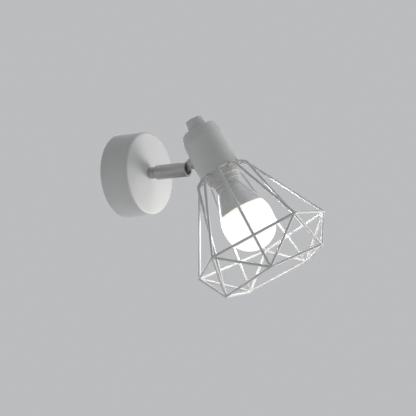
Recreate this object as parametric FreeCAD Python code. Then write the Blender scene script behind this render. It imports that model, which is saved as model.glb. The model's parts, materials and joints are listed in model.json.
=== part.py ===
"""Cage wall light: a round wall canopy, a turned arm with a knuckle at its mouth, and a tilting head
with a lampholder cup, a welded wire cage and a screw-in lamp.

Millimetres. X runs to the right along the wall, Z is up, and the wall is the plane Y = 0 with the room
on its -Y side. The origin is the centre of the bracket's back face, on the wall. Every piece is drawn
in the neutral attitude (cup axis vertical, arm level) and is then turned to the attitude it is kept in.
"""

import FreeCAD, Part
import math
import os
from FreeCAD import Placement, Rotation, Vector

# ---- attitude the light is kept in, degrees ----
swivel_rest = 12.0
tilt_rest = 25.3

# ---- clearances ----
running_clearance = 0.05
slip_clearance = 0.3
screw_hole_clearance = 0.2
same_place = 1e-6

# ---- canopy and its fixing to the wall ----
canopy_radius = 50.0
canopy_draft = 1.2
canopy_depth = 36.5
canopy_wall = 1.2
canopy_edge_round = 2.0
bracket_width = 22.0
bracket_thickness = 2.0
bracket_gap_to_canopy = 0.7
bracket_tab_length = 13.0
bracket_tab_width = 12.0
bracket_bend_round = 1.0
wall_slot_spacing = 64.0
wall_slot_length = 9.0
wall_slot_width = 4.6
cable_hole_radius = 5.0
cable_hole_offset = 19.0
side_screw_level = 8.0
side_screw_radius = 2.0
side_screw_length = 6.0
side_screw_socket_radius = 1.1
side_screw_socket_depth = 2.0
earth_screw_offset = 19.0
earth_screw_radius = 2.0
earth_screw_head_radius = 3.6
earth_screw_head_height = 2.4
earth_washer_radius = 4.4
earth_washer_thickness = 0.8
terminal_pitch = 8.0
terminal_ways = 3
terminal_depth = 17.0
terminal_height = 13.0
terminal_base_height = 7.5
terminal_tower_radius = 3.4
terminal_bore_radius = 1.7
terminal_screw_radius = 1.5
terminal_screw_length = 3.5
terminal_screw_sink = 2.0
terminal_screw_inset = 4.2

# ---- arm, turned from bar, with its swivel fastening ----
thread_radius = 5.0
arm_neck_radius = 6.8
arm_neck_length = 7.0
arm_cone_length = 3.0
arm_radius = 8.5
arm_length = 53.0
arm_wire_bore_radius = 3.2
arm_mouth_bore_radius = 6.2
arm_mouth_round = 0.6
pivot_inset = 7.0
shank_length = 15.0
stop_plate_radius = 8.0
stop_plate_thickness = 1.2
stop_tab_reach = 13.0
stop_tab_width = 4.0
stop_lug_radius = 1.1
stop_lug_height = 1.0
spring_washer_radius = 7.6
spring_washer_thickness = 1.6
nut_across_flats = 14.0
nut_thickness = 3.0

# ---- knuckle ----
tongue_thickness = 5.5
tongue_eye_radius = 5.2
hinge_pin_radius = 2.0
hinge_pin_blind_wall = 1.1
screw_slot_width = 0.8
screw_slot_depth = 0.8
hinge_washer_radius = 3.6
stub_radius = 7.6
stub_thickness = 4.0
saddle_radius = 7.5
saddle_thickness = 2.2
tongue_wire_bore_radius = 1.8

# ---- lampholder cup ----
pivot_to_cup_axis = 42.4
pivot_to_cup_top = 27.9
cup_height = 55.0
cup_rim_radius = 25.5
cup_shoulder_radius = 24.3
cup_shoulder_drop = 12.5
cup_top_radius = 21.5
cup_wall = 1.5
cup_shoulder_round = 7.0
cup_top_round = 1.6
knob_radius = 11.6
knob_top_radius = 10.6
knob_height = 13.5
knob_round = 1.0
knob_bore_depth = 9.0

# ---- lampholder ----
holder_flange_radius = 20.4
holder_flange_thickness = 2.0
holder_thread_radius = 17.9
holder_thread_length = 11.6
holder_skirt_radius = 17.2
holder_skirt_length = 16.7
lamp_thread_clearance = 0.3
holder_body_rise = 10.9
holder_cap_rise = 14.0
holder_cap_top_radius = 8.5
holder_cap_wall = 1.8
holder_boss_height = 5.0
insert_thickness = 3.0
socket_shell_wall = 0.5
socket_shell_length = 21.0
centre_contact_width = 6.0
centre_contact_thickness = 0.6
shade_ring_radius = 20.0
shade_ring_height = 8.7
shade_ring_grips = 12
shade_ring_grip_radius = 1.4
shade_ring_grip_depth = 0.5

# ---- wire cage ----
cage_sides = 5
wire_radius = 1.5
collar_thickness = 1.5
collar_clearance = 0.6
rib_foot_clearance = 0.5
shoulder_radius = 32.0
shoulder_drop = 0.6
shoulder_bend = 10.0
waist_drop = 92.0
waist_radius = 86.0
waist_bend = 3.0
mouth_drop = 38.2
mouth_radius = 64.5
mouth_bend = 5.0
cage_turn = 8.5

# ---- lamp ----
lamp_length = 110.0
lamp_cap_radius = 13.1
lamp_cap_length = 21.5
lamp_cap_wall = 0.5
lamp_contact_radius = 4.5
lamp_contact_height = 1.5
lamp_insulator_height = 2.0
lamp_insulator_radius = 9.5
lamp_neck_radius = 16.0
lamp_neck_length = 7.5
lamp_groove_width = 0.9
lamp_groove_depth = 0.8
lamp_groove_inset = 2.5
lamp_body_start_radius = 15.2
lamp_body_radius = 26.6
lamp_body_length = 27.5
lamp_body_wall = 1.6
lamp_dome_radius = 30.0
lamp_dome_wall = 1.4
dome_flare_widening = 0.69
dome_flare_drop = 0.3
lamp_flare_fullness = 0.6
led_board_thickness = 1.6

# ---- places worked out from the sizes above ----
pivot_reach = arm_length - pivot_inset
pivot_y = -(canopy_depth + pivot_reach)
cup_axis_y = pivot_y - pivot_to_cup_axis
cup_rim_level = pivot_to_cup_top - cup_height
ring_top = cup_rim_level - slip_clearance
collar_top = ring_top + collar_thickness
collar_radius = cup_rim_radius - cup_wall - collar_clearance
holder_flange_top = collar_top + holder_flange_thickness
rib_foot_level = ring_top - wire_radius
shoulder_level = rib_foot_level - shoulder_drop
waist_level = rib_foot_level - waist_drop
mouth_level = waist_level - mouth_drop
holder_skirt_end = collar_top - holder_skirt_length
socket_shell_radius = lamp_cap_radius + lamp_thread_clearance + socket_shell_wall
holder_body_top = holder_flange_top + holder_body_rise
lamp_seat = holder_skirt_end - slip_clearance
lamp_cap_top = lamp_seat + lamp_cap_length
lamp_tip = lamp_cap_top + lamp_insulator_height + lamp_contact_height
lamp_end = lamp_tip - lamp_length
neck_end = lamp_seat - lamp_neck_length
body_end = neck_end - lamp_body_length


# ---- drawing helpers ----
def rounded_path(corners, closed):
    """Straight runs through corners of (point, bend radius), each bend a tangent arc."""
    count = len(corners)
    joins = []
    for i, (point, bend) in enumerate(corners):
        if bend == 0:
            joins.append((point, None, point))
            continue
        before = (corners[i - 1][0] - point).normalize()
        after = (corners[(i + 1) % count][0] - point).normalize()
        half_angle = before.getAngle(after) / 2
        reach = bend / math.tan(half_angle)
        middle = point + (before + after).normalize() * (bend / math.sin(half_angle) - bend)
        joins.append((point + before * reach, middle, point + after * reach))
    edges = []
    for i in range(count if closed else count - 1):
        start, end = joins[i][2], joins[(i + 1) % count]
        edges.append(Part.LineSegment(start, end[0]).toShape())
        if end[1]:
            edges.append(Part.Arc(*end).toShape())
    return Part.Wire(edges)


def turned(corners):
    """A solid of revolution about Z from a closed outline of (radius, height) or (radius, height, round)."""
    points = [(Vector(c[0], 0, c[1]), c[2] if len(c) > 2 else 0) for c in corners]
    return Part.Face(rounded_path(points, True)).revolve(Vector(), Vector(0, 0, 1), 360)


def rod(radius, start, end):
    """A round bar between two points."""
    return Part.makeCylinder(radius, (end - start).Length, start, end - start)


def block(width, depth, height, centre):
    """A box of sizes along X, Y and Z about its centre."""
    corner = centre - Vector(width, depth, height) / 2
    return Part.makeBox(width, depth, height, corner)


def hexagon(across_flats, height):
    """A hexagonal prism standing on Z = 0."""
    reach = across_flats / math.sqrt(3)
    angles = [k * math.pi / 3 for k in range(7)]
    points = [Vector(reach * math.cos(angle), reach * math.sin(angle), 0) for angle in angles]
    return Part.Face(Part.makePolygon(points)).extrude(Vector(0, 0, height))


def outward(shape, distance):
    """Turns a piece drawn up Z so that it points out of the wall, its base at this distance from it."""
    shape.Placement = Placement(Vector(0, -distance, 0), Rotation(Vector(1, 0, 0), 90)) * shape.Placement
    return shape


def on_cup_axis(shape):
    """Moves a piece drawn about Z to the cup's axis; its heights count from the pivot's level."""
    shape.translate(Vector(0, cup_axis_y, 0))
    return shape


def largest(shape):
    """The main solid of a trimmed piece."""
    return max(shape.Solids, key=lambda solid: solid.Volume)


# ---- wall side ----
def canopy_radius_at(distance):
    return canopy_radius - canopy_draft * distance / canopy_depth


def side_screw_ends():
    """The top and bottom screws: direction of each from the canopy's axis."""
    return (Vector(0, 0, 1), Vector(0, 0, -1))


def canopy():
    front_radius = canopy_radius - canopy_draft
    shell = turned([
        (canopy_radius, 0),
        (front_radius, canopy_depth, canopy_edge_round),
        (thread_radius + screw_hole_clearance, canopy_depth),
        (thread_radius + screw_hole_clearance, canopy_depth - canopy_wall),
        (front_radius - canopy_wall, canopy_depth - canopy_wall, canopy_edge_round - canopy_wall),
        (canopy_radius - canopy_wall, 0),
    ])
    lug_circle = (stop_plate_radius + stop_tab_reach) / 2 + stop_lug_radius
    lug_length = stop_plate_thickness + stop_lug_height
    lug_base = Vector(0, -lug_circle, canopy_depth - canopy_wall - lug_length)
    lug = Part.makeCylinder(stop_lug_radius, lug_length, lug_base)
    shell = outward(shell.fuse(lug), 0)
    for direction in side_screw_ends():
        start = Vector(0, -side_screw_level, 0)
        shell = shell.cut(rod(side_screw_radius, start, start + direction * (canopy_radius + canopy_wall)))
    return shell.removeSplitter()


def bracket_tab_face():
    """Height of the tabs' outer faces: inside the canopy's wall at the tab's corners and mouth end."""
    inner_radius = canopy_radius_at(bracket_tab_length) - canopy_wall
    return math.sqrt(inner_radius ** 2 - (bracket_tab_width / 2) ** 2) - bracket_gap_to_canopy


def wall_bracket():
    face = bracket_tab_face()
    plate = block(bracket_width, bracket_thickness, 2 * face, Vector(0, -bracket_thickness / 2, 0))
    for side in (1, -1):
        tab_centre = Vector(0, -bracket_tab_length / 2, side * (face - bracket_thickness / 2))
        tab = block(bracket_tab_width, bracket_tab_length, bracket_thickness, tab_centre)
        notch = block(bracket_width, bracket_thickness, bracket_thickness, tab_centre)
        notch.translate(Vector(0, bracket_tab_length / 2 - bracket_thickness / 2, 0))
        plate = plate.cut(notch.cut(tab)).fuse(tab)
        slot_level = side * wall_slot_spacing / 2
        straight = wall_slot_length - wall_slot_width
        slot_centre = Vector(0, -bracket_thickness / 2, slot_level)
        slot = block(wall_slot_width, 2 * bracket_thickness, straight, slot_centre)
        for end in (1, -1):
            centre = Vector(0, bracket_thickness, slot_level + end * straight / 2)
            slot = slot.fuse(rod(wall_slot_width / 2, centre, centre - Vector(0, 3 * bracket_thickness, 0)))
        plate = plate.cut(slot)
        hole_start = Vector(0, -side_screw_level, 0)
        plate = plate.cut(rod(side_screw_radius, hole_start, hole_start + Vector(0, 0, side * canopy_radius)))
    behind = Vector(0, bracket_thickness, 0)
    through = Vector(0, -3 * bracket_thickness, 0)
    for level, radius in ((-cable_hole_offset, cable_hole_radius), (earth_screw_offset, earth_screw_radius)):
        start = behind + Vector(0, 0, level)
        plate = plate.cut(rod(radius, start, start + through))
    plate = plate.removeSplitter()
    outer_bends = [
        edge for edge in plate.Edges
        if abs(edge.BoundBox.YMax) < same_place and abs(edge.BoundBox.YMin) < same_place
        and abs(abs(edge.BoundBox.ZMax) - face) < same_place and edge.BoundBox.ZLength < same_place
    ]
    return plate.makeFillet(bracket_bend_round, outer_bends)


def canopy_side_screws():
    screws = []
    for direction in side_screw_ends():
        reach = canopy_radius_at(side_screw_level) - slip_clearance
        top = Vector(0, -side_screw_level, 0) + direction * reach
        screw = rod(side_screw_radius, top - direction * side_screw_length, top)
        socket = hexagon(2 * side_screw_socket_radius, side_screw_socket_depth)
        turn = Rotation(Vector(0, 0, 1), direction)
        socket.Placement = Placement(top - direction * side_screw_socket_depth, turn)
        screws.append(screw.cut(socket))
    return Part.makeCompound(screws)


def terminal_centres():
    """Heights of the block's ways above the bracket's middle."""
    return [(way - (terminal_ways - 1) / 2) * terminal_pitch for way in range(terminal_ways)]


def terminal_tower_places():
    reach = terminal_depth / 2 - terminal_screw_inset
    return [(side * reach, level) for side in (1, -1) for level in terminal_centres()]


def terminal_block():
    base_length = terminal_ways * terminal_pitch
    foot = bracket_thickness + slip_clearance
    tower = Vector(0, terminal_base_height - terminal_height, 0)
    centre = Vector(0, -foot - terminal_base_height / 2, 0)
    body = block(terminal_depth, terminal_base_height, base_length, centre)
    for x, level in terminal_tower_places():
        start = Vector(x, -foot - terminal_base_height, level)
        body = body.fuse(rod(terminal_tower_radius, start, start + tower))
    for level in terminal_centres():
        start = Vector(-terminal_depth, -foot - terminal_base_height / 2, level)
        body = body.cut(rod(terminal_bore_radius, start, start + Vector(2 * terminal_depth, 0, 0)))
    for x, level in terminal_tower_places():
        bottom = Vector(x, -foot - terminal_base_height / 2, level)
        body = body.cut(rod(terminal_screw_radius, bottom, bottom - Vector(0, terminal_height, 0)))
    return body.removeSplitter()


def terminal_screws():
    screws = []
    tower_top = bracket_thickness + slip_clearance + terminal_height
    for x, level in terminal_tower_places():
        mouth = Vector(x, terminal_screw_sink - tower_top, level)
        screw = rod(terminal_screw_radius, mouth, mouth + Vector(0, terminal_screw_length, 0))
        slot_centre = mouth + Vector(0, screw_slot_depth / 2, 0)
        slot = block(3 * terminal_screw_radius, screw_slot_depth, screw_slot_width / 2, slot_centre)
        screws.append(screw.cut(slot))
    return Part.makeCompound(screws)


def earth_screw():
    level = earth_screw_offset
    under_head = bracket_thickness + earth_washer_thickness
    head_base = Vector(0, -under_head, level)
    head_top = head_base - Vector(0, earth_screw_head_height, 0)
    shank = rod(earth_screw_radius, Vector(0, 0, level), head_base)
    head = rod(earth_screw_head_radius, head_base, head_top)
    slot_centre = head_top + Vector(0, screw_slot_depth / 2, 0)
    slot = block(3 * earth_screw_head_radius, screw_slot_depth, screw_slot_width, slot_centre)
    return shank.fuse(head).cut(slot).removeSplitter()


def earth_washer():
    start = Vector(0, -bracket_thickness, earth_screw_offset)
    end = start - Vector(0, earth_washer_thickness, 0)
    return rod(earth_washer_radius, start, end).cut(rod(earth_screw_radius, start, end))


# ---- arm and its swivel fastening ----
def arm():
    neck_end_at = arm_neck_length + arm_cone_length
    bore_end = pivot_reach - tongue_eye_radius - slip_clearance
    bar = turned([
        (arm_wire_bore_radius, -shank_length),
        (thread_radius, -shank_length),
        (thread_radius, 0),
        (arm_neck_radius, 0),
        (arm_neck_radius, arm_neck_length),
        (arm_radius, neck_end_at),
        (arm_radius, arm_length, arm_mouth_round),
        (arm_mouth_bore_radius, arm_length, arm_mouth_round),
        (arm_mouth_bore_radius, bore_end),
        (arm_wire_bore_radius, bore_end),
    ])
    slot_width = tongue_thickness + 2 * slip_clearance
    slot_corner = Vector(-slot_width / 2, 0, bore_end)
    slot = Part.makeBox(slot_width, arm_radius + arm_mouth_round, arm_length, slot_corner)
    return outward(bar.cut(slot).cut(hinge_pin_bar()), canopy_depth)


def shank_ring(outer_radius, thickness, distance):
    """A flat ring round the arm's threaded shank, this far from the inside of the canopy's front."""
    ring = Part.makeCylinder(outer_radius, thickness).cut(Part.makeCylinder(thread_radius, thickness))
    return outward(ring, canopy_depth - canopy_wall - distance - thickness)


def swivel_stop_plate():
    plate = Part.makeCylinder(stop_plate_radius, stop_plate_thickness)
    tab_corner = Vector(-stop_tab_width / 2, 0, 0)
    plate = plate.fuse(Part.makeBox(stop_tab_width, stop_tab_reach, stop_plate_thickness, tab_corner))
    plate = plate.cut(Part.makeCylinder(thread_radius, stop_plate_thickness)).removeSplitter()
    return outward(plate, canopy_depth - canopy_wall - running_clearance - stop_plate_thickness)


def swivel_spring_washer():
    return shank_ring(spring_washer_radius, spring_washer_thickness, running_clearance + stop_plate_thickness)


def swivel_nut():
    nut = hexagon(nut_across_flats, nut_thickness).cut(Part.makeCylinder(thread_radius, nut_thickness))
    stack = running_clearance + stop_plate_thickness + spring_washer_thickness
    return outward(nut, canopy_depth - canopy_wall - stack - nut_thickness)


def hinge_pin_bar():
    """The pin's round bar across the arm, stopping short of the arm's surface on the -X side."""
    blind_end = Vector(hinge_pin_blind_wall - arm_radius, 0, pivot_reach)
    return rod(hinge_pin_radius, blind_end, Vector(arm_radius, 0, pivot_reach))


def hinge_pin():
    pin = hinge_pin_bar().common(Part.makeCylinder(arm_radius, arm_length))
    slot_centre = Vector(arm_radius - screw_slot_depth / 2, 0, pivot_reach)
    pin = pin.cut(block(screw_slot_depth, 3 * hinge_pin_radius, screw_slot_width, slot_centre))
    return outward(pin, canopy_depth)


def hinge_washers():
    inner_face = tongue_thickness / 2 + running_clearance
    outer_face = math.sqrt(arm_mouth_bore_radius ** 2 - hinge_washer_radius ** 2) - running_clearance
    pivot = Vector(0, 0, pivot_reach)
    washers = []
    for side in (1, -1):
        start, end = pivot + Vector(side * inner_face, 0, 0), pivot + Vector(side * outer_face, 0, 0)
        washer = rod(hinge_washer_radius, start, end).cut(rod(hinge_pin_radius, start, end))
        washers.append(outward(washer, canopy_depth))
    return Part.makeCompound(washers)


# ---- head: knuckle tongue and cup ----
def cup_corners(inset):
    """The cup's outer line, moved in by a wall: rim, shoulder and top edge as (radius, height, round)."""
    shoulder_level = pivot_to_cup_top - cup_shoulder_drop
    return [
        (cup_rim_radius - inset, cup_rim_level),
        (cup_shoulder_radius - inset, shoulder_level, cup_shoulder_round - inset),
        (cup_top_radius - inset, pivot_to_cup_top - inset, cup_top_round),
    ]


def cup_volume(inset):
    """The space inside the cup's outer line, or inside its wall."""
    top = pivot_to_cup_top - inset
    return on_cup_axis(turned([(0, cup_rim_level)] + cup_corners(inset) + [(0, top)]))


def towards_cup(reach, level=0):
    """A point this far from the pivot, on the line to the cup."""
    return Vector(0, pivot_y - reach, level)


def holder_cup():
    cup = cup_volume(0).cut(cup_volume(cup_wall))
    top_hole = Part.makeCylinder(thread_radius + screw_hole_clearance, cup_height, Vector(0, cup_axis_y, 0))
    side_hole = rod(thread_radius + screw_hole_clearance, towards_cup(0), towards_cup(pivot_to_cup_axis))
    return cup.cut(top_hole).cut(side_hole)


def saddle_flat():
    """Distance from the pivot to the flat side of the saddle inside the cup."""
    wall_radius = cup_rim_radius + (cup_shoulder_radius - cup_rim_radius) * -cup_rim_level / (
        cup_height - cup_shoulder_drop)
    return pivot_to_cup_axis - wall_radius + cup_wall + saddle_thickness


def knuckle_tongue():
    shank_end = saddle_flat() + nut_thickness
    stub_face = saddle_flat() - saddle_thickness - cup_wall - stub_thickness
    eye_half = Vector(tongue_thickness / 2, 0, 0)
    tongue = rod(tongue_eye_radius, towards_cup(0) - eye_half, towards_cup(0) + eye_half)
    bar_centre = towards_cup(stub_face / 2)
    tongue = tongue.fuse(block(tongue_thickness, stub_face, 2 * tongue_eye_radius, bar_centre))
    stub = rod(stub_radius, towards_cup(stub_face), towards_cup(pivot_to_cup_axis)).cut(cup_volume(0))
    shank = rod(thread_radius, towards_cup(stub_face), towards_cup(shank_end))
    tongue = tongue.fuse(largest(stub)).fuse(shank)
    hinge_radius = hinge_pin_radius + running_clearance
    tongue = tongue.cut(rod(hinge_radius, towards_cup(0) - eye_half, towards_cup(0) + eye_half))
    wire_way_start = towards_cup(tongue_eye_radius + tongue_wire_bore_radius)
    tongue = tongue.cut(rod(tongue_wire_bore_radius, wire_way_start, towards_cup(shank_end)))
    exit_end = wire_way_start - Vector(0, 0, 2 * tongue_eye_radius)
    tongue = tongue.cut(rod(tongue_wire_bore_radius, wire_way_start, exit_end))
    return tongue.removeSplitter()


def tongue_saddle():
    """The washer inside the cup, curved on one side to the cup's wall and flat on the other."""
    saddle = rod(saddle_radius, towards_cup(0), towards_cup(saddle_flat())).common(cup_volume(cup_wall))
    return largest(saddle.cut(rod(thread_radius, towards_cup(0), towards_cup(saddle_flat()))))


def tongue_nut():
    nut = hexagon(nut_across_flats, nut_thickness).cut(Part.makeCylinder(thread_radius, nut_thickness))
    nut.rotate(Vector(), Vector(0, 0, 1), 30)
    return outward(nut, -pivot_y + saddle_flat())


def top_knob():
    knob = turned([
        (0, pivot_to_cup_top),
        (knob_radius, pivot_to_cup_top),
        (knob_top_radius, pivot_to_cup_top + knob_height, knob_round),
        (0, pivot_to_cup_top + knob_height),
    ])
    bore = Part.makeCylinder(thread_radius, knob_bore_depth, Vector(0, 0, pivot_to_cup_top))
    return on_cup_axis(knob.cut(bore))


def holder_boss_top():
    return holder_body_top + holder_cap_rise + holder_boss_height


def threaded_nipple():
    bottom = holder_boss_top() - holder_boss_height
    top = pivot_to_cup_top + knob_bore_depth - slip_clearance
    foot = Vector(0, 0, bottom)
    nipple = Part.makeCylinder(thread_radius, top - bottom, foot)
    return on_cup_axis(nipple.cut(Part.makeCylinder(arm_wire_bore_radius, top - bottom, foot)))


def nipple_locknut():
    base = pivot_to_cup_top - cup_wall - nut_thickness
    nut = hexagon(nut_across_flats, nut_thickness).cut(Part.makeCylinder(thread_radius, nut_thickness))
    nut.translate(Vector(0, 0, base))
    return on_cup_axis(nut)


# ---- lampholder ----
def lampholder_cap():
    cone_top = holder_body_top + holder_cap_rise
    return on_cup_axis(turned([
        (holder_thread_radius, holder_body_top),
        (holder_thread_radius, holder_body_top + holder_cap_wall),
        (holder_cap_top_radius, cone_top),
        (holder_cap_top_radius, holder_boss_top()),
        (thread_radius, holder_boss_top()),
        (thread_radius, cone_top - holder_cap_wall),
        (holder_cap_top_radius - holder_cap_wall, cone_top - holder_cap_wall),
        (holder_thread_radius - holder_cap_wall, holder_body_top),
    ]))


def lampholder_body():
    thread_end = collar_top - holder_thread_length
    return on_cup_axis(turned([
        (socket_shell_radius, holder_body_top),
        (holder_thread_radius, holder_body_top),
        (holder_thread_radius, holder_flange_top),
        (holder_flange_radius, holder_flange_top),
        (holder_flange_radius, collar_top),
        (holder_thread_radius, collar_top),
        (holder_thread_radius, thread_end),
        (holder_skirt_radius, thread_end),
        (holder_skirt_radius, holder_skirt_end, holder_cap_wall / 2),
        (socket_shell_radius, holder_skirt_end),
    ]))


def insert_bottom():
    return holder_body_top - insert_thickness


def lampholder_insert():
    insert = Part.makeCylinder(socket_shell_radius, insert_thickness, Vector(0, 0, insert_bottom()))
    for side in (1, -1):
        wire_hole = Vector(side * socket_shell_radius / 2, 0, insert_bottom())
        insert = insert.cut(Part.makeCylinder(terminal_bore_radius, insert_thickness, wire_hole))
    return on_cup_axis(insert)


def socket_shell():
    bore = Part.makeCylinder(socket_shell_radius - socket_shell_wall, socket_shell_length)
    shell = Part.makeCylinder(socket_shell_radius, socket_shell_length).cut(bore)
    shell.translate(Vector(0, 0, insert_bottom() - socket_shell_length))
    return on_cup_axis(shell)


def centre_contact():
    """The sprung brass strip: flat on the insert at one end, bowed down to the lamp's tip."""
    half = centre_contact_width / 2
    top = insert_bottom()
    drop = top - lamp_tip
    reach = socket_shell_radius / 2
    thick = Vector(0, 0, -centre_contact_thickness)
    line = [Vector(reach, -half, top), Vector(reach / 2, -half, top)]
    low = [Vector(-reach / 3, -half, top - drop - thick.z), Vector(-reach, -half, top - drop / 2)]
    upper = line + low
    outline = upper + [point + thick for point in reversed(upper)]
    strip = Part.Face(Part.makePolygon(outline + outline[:1])).extrude(Vector(0, centre_contact_width, 0))
    return on_cup_axis(strip)


def shade_ring():
    bore_radius = holder_thread_radius + running_clearance
    ring = turned([
        (bore_radius, ring_top),
        (shade_ring_radius, ring_top),
        (shade_ring_radius, ring_top - shade_ring_height, shade_ring_grip_depth),
        (bore_radius, ring_top - shade_ring_height),
    ])
    for k in range(shade_ring_grips):
        angle = 2 * math.pi * k / shade_ring_grips
        reach = shade_ring_radius + shade_ring_grip_radius - shade_ring_grip_depth
        foot = Vector(reach * math.cos(angle), reach * math.sin(angle), ring_top - shade_ring_height)
        ring = ring.cut(Part.makeCylinder(shade_ring_grip_radius, shade_ring_height, foot))
    return on_cup_axis(ring)


# ---- wire cage ----
def cage_point(radius, level, step):
    """A point of the cage; step counts sides, with whole numbers at the waist's corners."""
    angle = math.radians(90 + cage_turn) + 2 * math.pi * step / cage_sides
    return Vector(radius * math.cos(angle), radius * math.sin(angle), level)


def cage_collar():
    hole_radius = holder_thread_radius + slip_clearance
    foot = Vector(0, 0, ring_top)
    collar = Part.makeCylinder(collar_radius, collar_thickness, foot)
    return on_cup_axis(collar.cut(Part.makeCylinder(hole_radius, collar_thickness, foot)))


def bent_wire(corners, closed):
    """A round wire along the corners; an open one starts square to its first run."""
    path = rounded_path(corners, closed)
    first = path.Edges[0]
    start, along = first.valueAt(first.FirstParameter), first.tangentAt(first.FirstParameter)
    section = Part.Wire(Part.makeCircle(wire_radius, start, along))
    return path.makePipeShell([section], True, False)


def cage_ring(radius, level, bend, first_step):
    corners = [(cage_point(radius, level, first_step + k), bend) for k in range(cage_sides)]
    start = (corners[0][0] + corners[-1][0]) / 2
    return bent_wire([(start, 0)] + corners, True)


def waist_ring():
    return cage_ring(waist_radius, waist_level, waist_bend, 0)


def mouth_ring():
    return cage_ring(mouth_radius, mouth_level, mouth_bend, 0.5)


def rib_to(radius, level, step):
    foot = cage_point(shade_ring_radius + rib_foot_clearance, rib_foot_level, step)
    shoulder = cage_point(shoulder_radius, shoulder_level, step)
    return bent_wire([(foot, 0), (shoulder, shoulder_bend), (cage_point(radius, level, step), 0)], False)


def outer_rib(side, waist):
    return largest(rib_to(waist_radius, waist_level, side).cut(waist))


def inner_rib(side, mouth):
    return largest(rib_to(mouth_radius, mouth_level, side + 0.5).cut(mouth))


def cage_sector(from_step, to_step):
    """The slice of space between two radial planes, from the waist to the mouth."""
    reach = 2 * waist_radius
    low = mouth_level - wire_radius * 4
    corners = [cage_point(0, low, 0), cage_point(reach, low, from_step), cage_point(reach, low, to_step)]
    height = Vector(0, 0, waist_level - low + wire_radius * 4)
    return Part.Face(Part.makePolygon(corners + corners[:1])).extrude(height)


def strut(waist_step, mouth_step, neighbours):
    start = cage_point(waist_radius, waist_level, waist_step)
    end = cage_point(mouth_radius, mouth_level, mouth_step)
    bar = rod(wire_radius, start, end)
    bar = bar.common(cage_sector(waist_step, mouth_step))
    for neighbour in neighbours:
        bar = largest(bar.cut(neighbour))
    return bar


def cage_wires():
    """Every wire of the cage by name: two rings, two sets of ribs and the struts between the rings."""
    waist, mouth = waist_ring(), mouth_ring()
    outer_ribs = [outer_rib(k, waist) for k in range(cage_sides)]
    inner_ribs = [inner_rib(k, mouth) for k in range(cage_sides)]
    wires = {"cage_waist_ring": waist, "cage_mouth_ring": mouth}
    for k in range(cage_sides):
        wires[f"cage_outer_rib_{k + 1}"] = outer_ribs[k]
        wires[f"cage_inner_rib_{k + 1}"] = inner_ribs[k]
        shared = (waist, mouth, inner_ribs[k])
        following = outer_ribs[(k + 1) % cage_sides]
        wires[f"cage_strut_{2 * k + 1}"] = strut(k, k + 0.5, (*shared, outer_ribs[k]))
        wires[f"cage_strut_{2 * k + 2}"] = strut(k + 1, k + 0.5, (*shared, following))
    return {name: on_cup_axis(wire) for name, wire in wires.items()}


# ---- lamp ----
def lamp_contact():
    foot = Vector(0, 0, lamp_tip - lamp_contact_height)
    return on_cup_axis(Part.makeCylinder(lamp_contact_radius, lamp_contact_height, foot))


def lamp_insulator():
    base = Vector(0, 0, lamp_cap_top)
    cone = Part.makeCone(lamp_insulator_radius, lamp_contact_radius, lamp_insulator_height, base)
    return on_cup_axis(cone)


def lamp_screw_cap():
    return on_cup_axis(turned([
        (lamp_cap_radius, lamp_seat),
        (lamp_cap_radius, lamp_cap_top - lamp_insulator_height),
        (lamp_insulator_radius, lamp_cap_top),
        (0, lamp_cap_top),
        (0, lamp_cap_top - lamp_cap_wall),
        (lamp_cap_radius - lamp_cap_wall, lamp_cap_top - lamp_insulator_height - lamp_cap_wall),
        (lamp_cap_radius - lamp_cap_wall, lamp_seat),
    ]))


def lamp_flare(inset):
    """The body's hollow-curved side, from the seam up to the neck, as a spline of (radius, height)."""
    middle_level = (neck_end + body_end) / 2
    middle_radius = (lamp_body_start_radius + lamp_body_radius) / 2 + lamp_flare_fullness
    points = [
        Vector(lamp_body_radius - inset, 0, body_end),
        Vector(middle_radius - inset, 0, middle_level),
        Vector(lamp_body_start_radius - inset, 0, neck_end),
    ]
    curve = Part.BSplineCurve()
    curve.interpolate(points)
    return curve.toShape()


def seam_edge(wall):
    """The flat edge on which the lamp's body and dome meet, as wide as the piece's wall."""
    inner = Vector(lamp_body_radius - wall, 0, body_end)
    return Part.LineSegment(inner, Vector(lamp_body_radius, 0, body_end)).toShape()


def lamp_body():
    seat = lamp_seat
    groove_top = seat - lamp_groove_inset
    groove_bottom = groove_top - 2 * lamp_groove_width
    grooved = lamp_neck_radius - lamp_groove_depth
    corners = [(lamp_body_start_radius, neck_end), (lamp_neck_radius, neck_end)]
    for level in (groove_bottom, groove_top):
        corners += [
            (lamp_neck_radius, level - lamp_groove_width), (grooved, level - lamp_groove_width),
            (grooved, level), (lamp_neck_radius, level),
        ]
    corners += [
        (lamp_neck_radius, seat), (lamp_body_start_radius - lamp_body_wall, seat),
        (lamp_body_start_radius - lamp_body_wall, neck_end),
    ]
    side = Part.makePolygon([Vector(r, 0, h) for r, h in corners]).Edges
    foot = seam_edge(lamp_body_wall)
    outline = Part.Wire(Part.__sortEdges__([lamp_flare(0), *side, lamp_flare(lamp_body_wall), foot]))
    return on_cup_axis(Part.Face(outline).revolve(Vector(), Vector(0, 0, 1), 360))


def dome_side(inset):
    """Half of the dome's outline: a short flare out of the seam and a round end, as edges."""
    widest = lamp_end + lamp_dome_radius
    rim = lamp_body_radius - inset
    radius = lamp_dome_radius - inset
    swell_radius = rim + (radius - rim) * dome_flare_widening
    swell = Vector(swell_radius, 0, body_end - (body_end - widest) * dome_flare_drop)
    flare = Part.BSplineCurve()
    flare.interpolate([Vector(rim, 0, body_end), swell, Vector(radius, 0, widest)])
    diagonal = radius / math.sqrt(2)
    midway = Vector(diagonal, 0, widest - diagonal)
    end = Part.Arc(Vector(radius, 0, widest), midway, Vector(0, 0, widest - radius))
    return [flare.toShape(), end.toShape()]


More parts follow.
